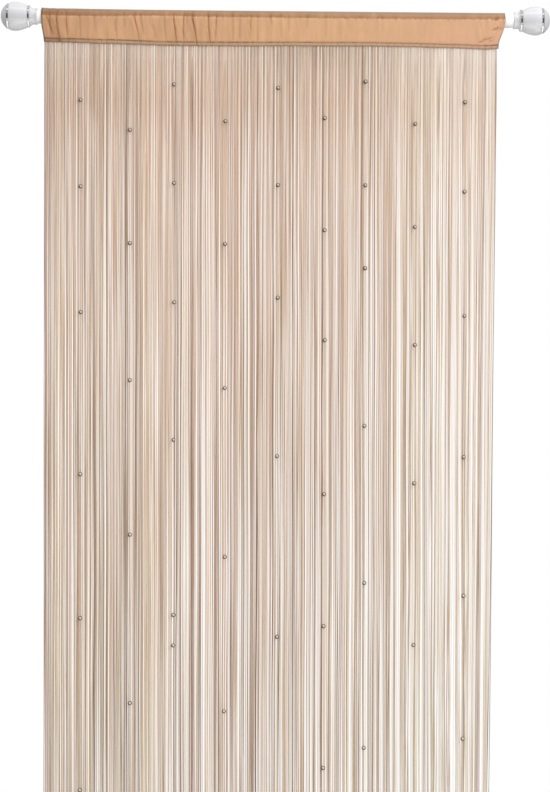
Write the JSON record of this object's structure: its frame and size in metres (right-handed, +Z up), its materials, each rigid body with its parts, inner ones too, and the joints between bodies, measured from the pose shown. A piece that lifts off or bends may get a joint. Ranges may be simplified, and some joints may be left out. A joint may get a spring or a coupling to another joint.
{
  "type": "bead curtain on a rod",
  "caption": "String curtain with small round beads, hung by a satin rod pocket on a white round rod with bulb finials.",
  "frame": {"origin": "middle of the rod's length, on the rod's axis", "axes": "+X along the rod, -Y the front, +Z up"},
  "size_m": [1.093, 0.057, 2.0174],
  "materials": {
    "white_gloss": "white gloss lacquer",
    "pearl_cap": "pale grey pearl gloss",
    "chrome": "polished",
    "satin": "tan satin weave with soft sheen",
    "string": "pale beige twisted yarn",
    "bead": "bronze pearl gloss"
  },
  "bodies": {
    "root": {"rod": "white_gloss", "finial_left_bulb": "white_gloss", "finial_left_neck_ring": "chrome", "finial_left_cap_ring": "chrome", "finial_left_cap": "pearl_cap", "finial_right_bulb": "white_gloss", "finial_right_neck_ring": "chrome", "finial_right_cap_ring": "chrome", "finial_right_cap": "pearl_cap", "rod_pocket": "satin", "strings": "string"}
  },
  "joints": []
}
